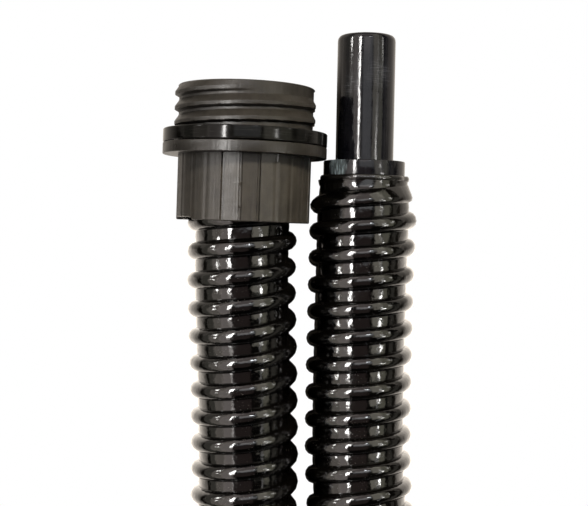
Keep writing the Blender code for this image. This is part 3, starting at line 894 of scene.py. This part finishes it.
def tube_finish():
    """Glossy black tube with lengthwise haze, fine scratches, and pale blue patches at a few places."""
    nodes = Nodes("tube_gloss_black")
    haze = nodes.noise(1.0, 4.0, 0.6, nodes.stretched((420.0, 45.0, 420.0)))
    haze = nodes.ramp(haze, 0.35, 0.70)
    cloud = nodes.ramp(nodes.noise(130.0, 4.0), 0.38, 0.66)
    lines = nodes.noise(1.0, 2.0, 0.5, nodes.stretched((2600.0, 160.0, 2600.0), (0.0, 0.0, 0.25)))
    lines = nodes.ramp(lines, 0.56, 0.64)
    crossed = nodes.noise(1.0, 2.0, 0.5, nodes.stretched((240.0, 2300.0, 240.0), (0.0, 0.0, 0.30)))
    crossed = nodes.ramp(crossed, 0.55, 0.62)
    on_collar, upper, left = (nodes.near(Vector(HOSE_CUT) + Vector(at), reach) for at, reach in PALE_PATCHES)
    soft = nodes.times(nodes.maths("MAXIMUM", upper, left), nodes.plus(nodes.times(crossed, 0.7), 0.25))
    hard = nodes.times(nodes.ramp(on_collar, 0.05, 0.35), nodes.plus(nodes.times(lines, 0.8), 0.2))
    base = nodes.mix(haze, (0.003, 0.0032, 0.0058), (0.010, 0.0105, 0.0150))
    base = nodes.mix(nodes.times(cloud, 0.35), base, (0.022, 0.022, 0.027))
    base = nodes.mix(nodes.times(soft, 0.55), base, (0.13, 0.14, 0.17))
    nodes.colour(nodes.mix(hard, base, (0.66, 0.84, 0.95)))
    on_patches = nodes.times(nodes.maths("MAXIMUM", soft, hard), 0.25)
    nodes.roughness(nodes.plus(nodes.ramp(haze, 0.0, 1.0, 0.08, 0.15), on_patches))
    nodes.shader.inputs["Specular IOR Level"].default_value = 0.28
    nodes.bump(nodes.plus(haze, nodes.noise(900.0, 3.0)), 0.12, 0.2 * MM)
    return nodes.material


def plain_finish(name, dark, light, rough, scale, bump_size, metallic=0.0):
    """A material with a fine mottle, uneven gloss and grain, for the smaller pieces."""
    nodes = Nodes(name)
    nodes.colour(nodes.mix(nodes.ramp(nodes.noise(scale, 4.0), 0.34, 0.68), dark, light))
    nodes.roughness(nodes.ramp(nodes.noise(scale * 2.5, 3.0), 0.3, 0.7, *rough))
    nodes.shader.inputs["Metallic"].default_value = metallic
    nodes.bump(nodes.noise(scale * 8, 3.0), 0.25, bump_size)
    return nodes.material


def sealant_finish():
    dark, light = (0.006, 0.006, 0.006), (0.016, 0.015, 0.014)
    return plain_finish("sealant_gloss_black", dark, light, (0.05, 0.14), 250.0, 0.4 * MM)


def tie_finish():
    """Black woven webbing: crossing threads in the bump and a slightly dusty pile."""
    nodes = Nodes("tie_woven_black")
    around = nodes.add("ShaderNodeTexWave", wave_type="BANDS", bands_direction="Z")
    across = nodes.add("ShaderNodeTexWave", wave_type="BANDS", bands_direction="DIAGONAL")
    for wave, scale in ((around, 260.0), (across, 210.0)):
        wave.inputs["Scale"].default_value = scale
        wave.inputs["Distortion"].default_value = 0.6
        nodes.link(nodes.place, wave.inputs["Vector"])
    weave = nodes.times(around.outputs["Fac"], across.outputs["Fac"])
    fuzz = nodes.ramp(nodes.noise(1800.0, 3.0, 0.7), 0.4, 0.7)
    base = nodes.mix(weave, (0.010, 0.010, 0.011), (0.030, 0.030, 0.033))
    nodes.colour(nodes.mix(nodes.times(fuzz, 0.3), base, (0.07, 0.07, 0.072)))
    nodes.shader.inputs["Roughness"].default_value = 0.85
    nodes.shader.inputs["Sheen Weight"].default_value = 0.3
    nodes.bump(nodes.plus(weave, nodes.times(fuzz, 0.4)), 0.6, 0.4 * MM)
    return nodes.material


# The CAD nodes that stay visible inside the coupling's mouth: material, dark and light colour, lowest and
# highest roughness, scale of the mottle, depth of the grain, and metallic where it is a metal.
INNER_FINISHES = {
    "hose_tail": (
        "tail_satin_black",
        (0.020, 0.020, 0.019),
        (0.045, 0.044, 0.042),
        (0.32, 0.50),
        220.0,
        0.2 * MM,
    ),
    "swivel_o_ring": (
        "seal_rubber_black",
        (0.012, 0.012, 0.012),
        (0.030, 0.030, 0.030),
        (0.40, 0.60),
        400.0,
        0.1 * MM,
    ),
    "slip_washer": (
        "slip_washer_white",
        (0.66, 0.65, 0.60),
        (0.78, 0.77, 0.73),
        (0.28, 0.42),
        300.0,
        0.1 * MM,
    ),
    "snap_ring": (
        "ring_steel_bright",
        (0.45, 0.45, 0.46),
        (0.60, 0.60, 0.61),
        (0.20, 0.34),
        500.0,
        0.1 * MM,
        1.0,
    ),
}


def finish_inner_nodes():
    for name, settings in INNER_FINISHES.items():
        node = frame["nodes"][name]
        node.data.materials.clear()
        node.data.materials.append(plain_finish(*settings))


# ---- stage ----

FLOOR_HALF = 4.0
FLOOR_MATTE = (0.14, 0.13, 0.12, 1.0)
WORLD_COLOUR = (0.95, 0.97, 1.0, 1.0)
WORLD_STRENGTH = 0.01
WHITE = (1.0, 1.0, 1.0, 1.0)

# The white sheet beside the hoses, by distance from their middle, and how it fades along Y.
HOSES_MIDDLE_X = 0.0082
SHEET_COLOUR = (1.0, 0.91, 0.81, 1.0)
SHEET_RADIANCE = 2.6
SHEET_INNER = (0.036, 0.050)
SHEET_OUTER = (0.07, 0.28)
SHEET_FADE_Y = (-0.045, -0.030)
SHEET_BY_FITTINGS = 0.35
SHEET_BEYOND_Y = (0.030, 0.050)
SHEET_BEYOND = 0.25


def sheet_share(nodes):
    """How bright the sheet is at each place on the floor, from 0 to 1."""
    parts = nodes.add("ShaderNodeSeparateXYZ")
    nodes.link(nodes.place, parts.inputs["Vector"])
    off_middle = nodes.maths("SUBTRACT", parts.outputs["X"], HOSES_MIDDLE_X)
    off_middle = nodes.maths("ABSOLUTE", off_middle, 0.0)
    outside = nodes.ramp(off_middle, *SHEET_INNER)
    outside = nodes.times(outside, nodes.ramp(off_middle, *SHEET_OUTER, 1.0, 0.0))
    beside_hose = nodes.ramp(parts.outputs["Y"], *SHEET_FADE_Y, 1.0, SHEET_BY_FITTINGS)
    beyond = nodes.ramp(parts.outputs["Y"], *SHEET_BEYOND_Y, 0.0, SHEET_BEYOND)
    return nodes.maths("MAXIMUM", nodes.times(outside, beside_hose), beyond)


def make_floor():
    """A pale floor that the camera sees as plain white. What the object mirrors of it is a white sheet
    that is bright beside the hoses, and dark in the gap between them."""
    reach = FLOOR_HALF
    corners = [(-reach, -reach, 0.0), (reach, -reach, 0.0), (reach, reach, 0.0), (-reach, reach, 0.0)]
    mesh = bpy.data.meshes.new("floor")
    mesh.from_pydata(corners, [], [(0, 1, 2, 3)])
    floor = bpy.data.objects.new("floor", mesh)
    bpy.context.scene.collection.objects.link(floor)
    nodes = Nodes("floor_white")
    nodes.tree.nodes.remove(nodes.shader)
    rays = nodes.add("ShaderNodeLightPath")
    sheet = nodes.add("ShaderNodeEmission")
    sheet.inputs["Color"].default_value = SHEET_COLOUR
    mirrored = nodes.times(sheet_share(nodes), rays.outputs["Is Glossy Ray"])
    nodes.link(nodes.times(mirrored, SHEET_RADIANCE), sheet.inputs["Strength"])
    matte = nodes.add("ShaderNodeBsdfDiffuse")
    matte.inputs["Color"].default_value = FLOOR_MATTE
    lit = nodes.add("ShaderNodeAddShader")
    nodes.link(sheet.outputs[0], lit.inputs[0])
    nodes.link(matte.outputs[0], lit.inputs[1])
    white = nodes.add("ShaderNodeEmission")
    seen = nodes.add("ShaderNodeMixShader")
    nodes.link(rays.outputs["Is Camera Ray"], seen.inputs[0])
    nodes.link(lit.outputs[0], seen.inputs[1])
    nodes.link(white.outputs[0], seen.inputs[2])
    nodes.link(seen.outputs[0], nodes.tree.nodes["Material Output"].inputs["Surface"])
    mesh.materials.append(nodes.material)


def make_world():
    """White where the camera sees past the floor, and nearly dark as light on the object."""
    world = bpy.data.worlds.new("world")
    bpy.context.scene.world = world
    world.use_nodes = True
    tree = world.node_tree
    tree.nodes.clear()
    rays = tree.nodes.new("ShaderNodeLightPath")
    dim = tree.nodes.new("ShaderNodeBackground")
    dim.inputs["Color"].default_value = WORLD_COLOUR
    dim.inputs["Strength"].default_value = WORLD_STRENGTH
    white = tree.nodes.new("ShaderNodeBackground")
    white.inputs["Color"].default_value = WHITE
    seen = tree.nodes.new("ShaderNodeMixShader")
    out = tree.nodes.new("ShaderNodeOutputWorld")
    tree.links.new(rays.outputs["Is Camera Ray"], seen.inputs[0])
    tree.links.new(dim.outputs[0], seen.inputs[1])
    tree.links.new(white.outputs[0], seen.inputs[2])
    tree.links.new(seen.outputs[0], out.inputs[0])


LAMP_WHITE = (1.0, 0.98, 0.96)
LIGHTS_AIM_Z = 0.03

# Each light hangs round the hoses: angle off the vertical, distance, place along Y, size across and along,
# radiance and colour. The key lights surfaces and isn't mirrored. The others are only mirrored.
LIGHTS = (
    ("panel_low_left", -80.0, 0.95, -0.10, 0.34, 2.2, 0.5, (1.0, 0.94, 0.80)),
    ("panel_far_left", -60.0, 0.95, 0.00, 0.40, 4.2, 1.5, (1.0, 0.90, 0.80)),
    ("panel_left", -36.0, 0.95, 0.00, 0.46, 4.2, 2.2, (1.0, 0.89, 0.84)),
    ("panel_dim", 0.0, 1.05, -0.40, 0.80, 1.00, 0.25, (1.0, 0.74, 0.70)),
    ("panel_top", -2.0, 0.97, 0.90, 0.60, 1.5, 1.2, (1.0, 0.86, 0.82)),
    ("panel_end", 4.0, 0.93, 0.27, 0.62, 0.44, 1.7, (0.96, 0.97, 1.0)),
    ("panel_right", 36.0, 0.95, 0.48, 0.40, 1.75, 2.1, (1.0, 0.94, 0.80)),
    ("panel_far_right", 58.0, 0.95, 0.38, 0.34, 1.9, 1.3, (1.0, 0.96, 0.76)),
    ("panel_low_right", 82.0, 0.95, -0.30, 0.24, 1.6, 0.35, (1.0, 0.93, 0.80)),
    ("strip_left", -27.0, 0.80, 0.16, 0.050, 0.56, 105.0, LAMP_WHITE),
    ("line_left", -26.0, 0.80, -0.30, 0.026, 0.36, 7.0, LAMP_WHITE),
    ("line_right", 46.0, 0.80, -0.10, 0.018, 0.80, 7.0, LAMP_WHITE),
    ("lamp_left", -27.0, 0.80, -0.14, 0.050, 0.07, 75.0, LAMP_WHITE),
    ("lamp_washer_right", 43.0, 0.80, 0.10, 0.036, 0.05, 48.0, LAMP_WHITE),
    ("lamp_far_left", -58.0, 0.80, -0.10, 0.025, 0.10, 90.0, LAMP_WHITE),
    ("lamp_end_left", -64.0, 0.80, 0.32, 0.030, 0.20, 90.0, LAMP_WHITE),
    ("lamp_top", 15.0, 0.80, 0.42, 0.045, 0.08, 90.0, (0.92, 0.95, 1.0)),
    ("lamp_right", 50.0, 0.80, -0.12, 0.040, 0.08, 75.0, LAMP_WHITE),
    ("lamp_end_right", 64.0, 0.80, 0.30, 0.020, 0.22, 16.0, LAMP_WHITE),
)
KEY = ("key", 22.0, 0.80, 0.50, 0.14, 0.14, 124.0, (1.0, 0.925, 0.80))


def make_light(name, angle, distance, along_y, across, along, radiance, colour):
    """A flat light that faces the middle of the view, with its length along the hoses."""
    data = bpy.data.lights.new(name, "AREA")
    data.shape = "RECTANGLE"
    data.size = across
    data.size_y = along
    data.color = colour
    data.energy = radiance * math.pi * across * along
    light = bpy.data.objects.new(name, data)
    target = Vector((*CAMERA_FOOT, LIGHTS_AIM_Z))
    turn = math.radians(angle)
    light.location = target + Vector((math.sin(turn) * distance, along_y, math.cos(turn) * distance))
    back = (light.location - target).normalized()
    side = Vector((0.0, 1.0, 0.0)).cross(back).normalized()
    light.rotation_euler = Matrix((side, back.cross(side), back)).transposed().to_euler()
    bpy.context.scene.collection.objects.link(light)
    return light


def make_lights():
    for settings in LIGHTS:
        make_light(*settings).visible_diffuse = False
    make_light(*KEY).visible_glossy = False


# ---- build ----


def main():
    make_camera()
    hose, length, centre_line = make_hose(hose_finish())
    woven = tie_finish()
    on_hose = []
    for number, at_deg in enumerate(TIE_AT_DEG, start=1):
        on_hose += make_tie(number, at_deg, woven)
    make_coupling(coupling_finish())
    make_washer(washer_finish())
    tube = tube_finish()
    make_tube(tube)
    make_collar(tube)
    make_bead(sealant_finish())
    finish_inner_nodes()
    make_floor()
    make_world()
    make_lights()
    bpy.context.scene.view_settings.view_transform = "Standard"


main()
